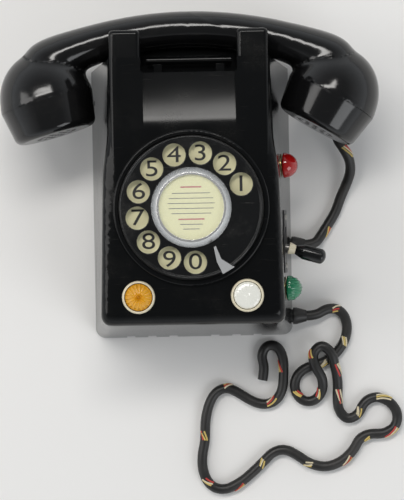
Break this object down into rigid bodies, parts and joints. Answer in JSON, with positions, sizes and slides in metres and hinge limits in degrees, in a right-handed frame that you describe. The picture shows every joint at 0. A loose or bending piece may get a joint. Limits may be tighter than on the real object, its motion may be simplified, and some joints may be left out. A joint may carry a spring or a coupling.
{
  "type": "wall telephone",
  "caption": "Black wall telephone lying on its back, with a rotary dial, coloured signal lamps, a lever line switch, a handset across the cradle and frayed rubber cords.",
  "frame": {"origin": "on the plane of the case's back, under the middle of the object without its cords", "axes": "+X along the handset, from the ear end to the mouth end; +Y up the wall; +Z out of the wall, towards the user. The object lies on its back on the plane Z = 0"},
  "size_m": [0.2328, 0.2842, 0.0998],
  "materials": {
    "case_bakelite": "glossy, worn",
    "wheel_bakelite": "glossy, scuffed",
    "plate_steel": "satin",
    "screw_steel": "satin",
    "bright_metal": "bright",
    "brass": "satin",
    "cream_enamel": "glossy",
    "cream_plastic": "satin",
    "card_paper": "matt",
    "window_clear": "clear",
    "amber_glass": "ribbed",
    "white_glass": "opal",
    "red_glass": "smooth",
    "green_glass": "ribbed",
    "bulb_glass": "clear",
    "coil_winding": "satin",
    "inner_black": "matt",
    "inner_brown": "matt",
    "cord_rubber": "matt, cracked"
  },
  "bodies": {
    "set": {"case_shell": "case_bakelite", "base_plate": "plate_steel", "case_screws": "screw_steel", "dial_cup": "plate_steel", "number_plate": "cream_enamel", "shaft_bush": "brass", "governor_can": "screw_steel", "finger_stop": "bright_metal", "amber_lamp_ring": "cream_plastic", "amber_lens": "amber_glass", "amber_socket": "brass", "amber_bulb": "bulb_glass", "white_lamp_ring": "cream_plastic", "white_lens": "white_glass", "white_socket": "brass", "white_bulb": "bulb_glass", "red_jewel": "red_glass", "red_socket": "brass", "red_bulb": "bulb_glass", "green_jewel": "green_glass", "green_socket": "brass", "green_bulb": "bulb_glass", "key_frame": "screw_steel", "key_pin": "screw_steel", "key_springs": "brass", "key_clamp": "inner_black", "key_escutcheon": "screw_steel", "escutcheon_screws": "screw_steel", "hook_guide": "inner_black", "hook_contacts": "brass", "gong_left": "brass", "gong_post_left": "screw_steel", "gong_right": "brass", "gong_post_right": "screw_steel", "ringer_frame": "screw_steel", "ringer_coil_left": "coil_winding", "ringer_coil_right": "coil_winding", "clapper_post": "screw_steel", "capacitor": "screw_steel", "induction_coil": "coil_winding", "terminal_block": "inner_brown", "terminal_screws": "brass", "handset_cord_gland": "cord_rubber", "line_cord_gland": "cord_rubber", "handset_cord": "cord_rubber", "line_cord": "cord_rubber"},
    "dial": {"finger_wheel": "wheel_bakelite", "card_ring": "bright_metal", "dial_card": "card_paper", "card_window": "window_clear", "dial_shaft": "screw_steel", "dial_gear": "brass"},
    "lever": {"lever_shank": "screw_steel", "lever_collar": "cream_plastic", "lever_knob": "wheel_bakelite"},
    "hook": {"hook_bar": "bright_metal", "hook_yoke": "screw_steel"},
    "handset": {"handset_body": "case_bakelite", "earpiece_cap": "case_bakelite", "mouthpiece_cap": "case_bakelite", "receiver_unit": "inner_black", "transmitter_unit": "inner_black", "handset_bush": "cord_rubber"},
    "clapper_arm": {"clapper": "screw_steel"}
  },
  "joints": [
    {"name": "dial_turn", "type": "hinge", "parent": "set", "child": "dial", "pos_m": [0, -0.0193, 0.0936], "axis": [0, 0, 1], "range_deg": [-330, 0], "stiffness_Nm_per_rad": 0.004, "springref_deg": 17.19},
    {"name": "lever_throw", "type": "hinge", "parent": "set", "child": "lever", "pos_m": [0.03879, -0.038, 0.048], "axis": [0, 0, 1], "range_deg": [0, 32]},
    {"name": "hook_travel", "type": "slide", "parent": "set", "child": "hook", "axis": [0, 1, 0], "range_m": [-0.005, 0], "stiffness_N_per_m": 150, "springref_m": 0.002},
    {"name": "handset_lift", "type": "slide", "parent": "set", "child": "handset", "axis": [0, 1, 0], "range_m": [0, 0.014]},
    {"name": "clapper_swing", "type": "hinge", "parent": "set", "child": "clapper_arm", "pos_m": [0, 0.004, 0.012], "axis": [0, 0, 1], "range_deg": [-3, 3], "stiffness_Nm_per_rad": 0.02}
  ]
}
